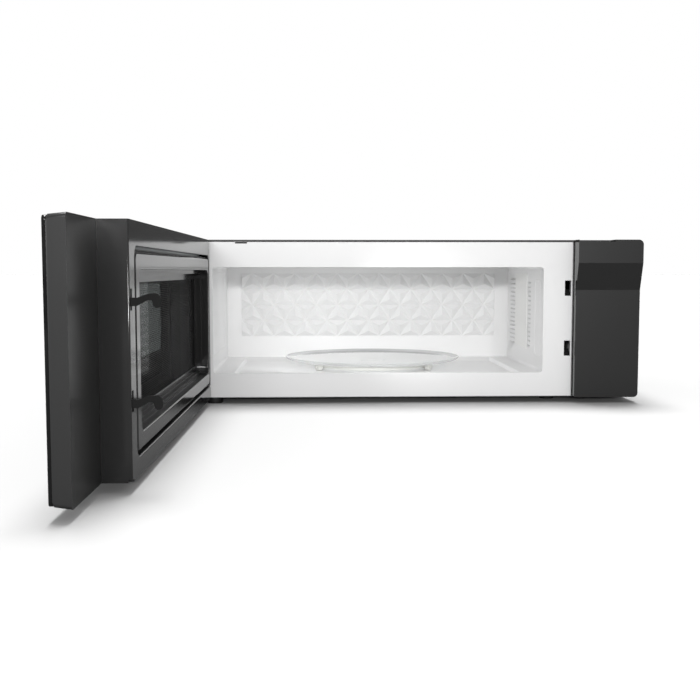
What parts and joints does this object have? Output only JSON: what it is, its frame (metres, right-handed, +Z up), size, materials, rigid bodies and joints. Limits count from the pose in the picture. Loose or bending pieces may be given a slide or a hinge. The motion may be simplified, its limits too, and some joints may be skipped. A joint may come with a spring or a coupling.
{
  "type": "over-the-range microwave oven",
  "caption": "Over-the-range microwave with a full-width side-hinged door, a glass tray on a roller ring, and vent parts.",
  "frame": {"origin": "middle of the lower rear edge, on the wall plane, where the wall plate's tabs hook into the body", "axes": "+X to the right seen from the front, +Y out of the back towards the wall, +Z up"},
  "size_m": [0.7687, 1.1806, 0.2743],
  "materials": {
    "dark_cover_paint": "satin dark grey powder coat on steel sheet",
    "white_enamel": "smooth white enamel on steel sheet",
    "bare_steel": "galvanised steel sheet",
    "dark_gloss_plastic": "glossy dark grey moulding",
    "dark_satin_plastic": "satin dark grey moulding",
    "black_plastic": "black moulded plastic",
    "grey_plastic": "grey moulded plastic",
    "tray_glass": "clear moulded heat-proof glass",
    "black_glass": "black printed toughened glass with a clear window",
    "lamp_glass": "clear lamp glass",
    "frosted_lens": "frosted lens",
    "mica": "mica sheet",
    "aluminium": "bare aluminium",
    "rubber": "black rubber",
    "board_green": "printed circuit board with components",
    "screw_steel": "zinc plated steel"
  },
  "bodies": {
    "cabinet": {"outer_cover": "dark_cover_paint", "base_plate": "bare_steel", "rear_plate": "bare_steel", "front_frame": "white_enamel", "cover_clip": "black_plastic", "cavity_shell": "white_enamel", "track_plate": "white_enamel", "cavity_back": "white_enamel", "waveguide_cover": "mica", "waveguide": "bare_steel", "magnetron": "bare_steel", "transformer": "bare_steel", "capacitor": "aluminium", "power_board": "board_green", "board_posts": "black_plastic", "fan_shroud": "bare_steel", "fan_motor": "bare_steel", "blower_scroll_left": "bare_steel", "blower_scroll_right": "bare_steel", "blower_motor": "bare_steel", "tray_motor": "grey_plastic", "latch_board": "black_plastic", "interlock_switches": "black_plastic", "cavity_lamp_holder": "bare_steel", "cavity_lamp_bulb": "lamp_glass", "cooktop_lens": "frosted_lens", "cooktop_lamp_housing": "bare_steel", "cooktop_bulbs": "lamp_glass", "filter_channel_left": "bare_steel", "filter_channel_right": "bare_steel", "feet": "rubber", "base_screws": "screw_steel", "bolt_nuts": "screw_steel", "cord_bushing": "black_plastic", "hinge_upper": "bare_steel", "hinge_lower": "bare_steel", "side_panel": "dark_satin_plastic"},
    "door": {"door_outer_frame": "dark_satin_plastic", "door_glass": "black_glass", "touch_board": "board_green", "door_inner_frame": "dark_gloss_plastic", "choke_panel": "dark_gloss_plastic", "door_plate": "bare_steel", "window_screen": "dark_cover_paint", "hinge_blocks": "grey_plastic"},
    "latch_key": {"latch_key": "black_plastic"},
    "turntable": {"glass_tray": "tray_glass", "tray_coupler": "grey_plastic"},
    "roller_ring": {"roller_ring": "grey_plastic"},
    "roller_1": {"roller_1": "grey_plastic"},
    "roller_2": {"roller_2": "grey_plastic"},
    "roller_3": {"roller_3": "grey_plastic"},
    "cooling_fan": {"cooling_fan": "black_plastic"},
    "blower_rotor": {"blower_rotor": "aluminium"},
    "filter_left": {"filter_left": "aluminium"},
    "filter_right": {"filter_right": "aluminium"}
  },
  "joints": [
    {"name": "door_hinge", "type": "hinge", "parent": "cabinet", "child": "door", "pos_m": [-0.358, -0.44322, 0.13], "axis": [0, 0, 1], "range_deg": [-4.3, 90.7]},
    {"name": "latch_slide", "type": "slide", "parent": "door", "child": "latch_key", "axis": [0, 0, 1], "range_m": [0, 0.0058]},
    {"name": "tray_spin", "type": "hinge", "parent": "cabinet", "child": "turntable", "pos_m": [-0.0534, -0.2535, 0.0476], "axis": [0, 0, 1], "continuous": true},
    {"name": "ring_spin", "type": "hinge", "parent": "cabinet", "child": "roller_ring", "pos_m": [-0.0534, -0.2535, 0.04055], "axis": [0, 0, 1], "continuous": true},
    {"name": "roller_1_spin", "type": "hinge", "parent": "roller_ring", "child": "roller_1", "pos_m": [-0.0534, -0.1415, 0.04055], "axis": [0, 1, 0], "continuous": true},
    {"name": "roller_2_spin", "type": "hinge", "parent": "roller_ring", "child": "roller_2", "pos_m": [-0.1504, -0.3095, 0.04055], "axis": [-0.866, -0.5, 0], "continuous": true},
    {"name": "roller_3_spin", "type": "hinge", "parent": "roller_ring", "child": "roller_3", "pos_m": [0.0436, -0.3095, 0.04055], "axis": [0.866, -0.5, 0], "continuous": true},
    {"name": "cooling_fan_spin", "type": "hinge", "parent": "cabinet", "child": "cooling_fan", "pos_m": [0.303, -0.0255, 0.178], "axis": [0, 1, 0], "continuous": true},
    {"name": "blower_spin", "type": "hinge", "parent": "cabinet", "child": "blower_rotor", "pos_m": [0, -0.0459, 0.212], "axis": [1, 0, 0], "continuous": true},
    {"name": "filter_left_slide", "type": "slide", "parent": "cabinet", "child": "filter_left", "axis": [1, 0, 0], "range_m": [0, 0.008]},
    {"name": "filter_right_slide", "type": "slide", "parent": "cabinet", "child": "filter_right", "axis": [1, 0, 0], "range_m": [0, 0.008]}
  ],
  "couplings": [
    {"joint": "ring_spin", "follows": "tray_spin", "ratio": 0.5},
    {"joint": "roller_1_spin", "follows": "tray_spin", "ratio": -8},
    {"joint": "roller_2_spin", "follows": "tray_spin", "ratio": -8},
    {"joint": "roller_3_spin", "follows": "tray_spin", "ratio": -8}
  ]
}
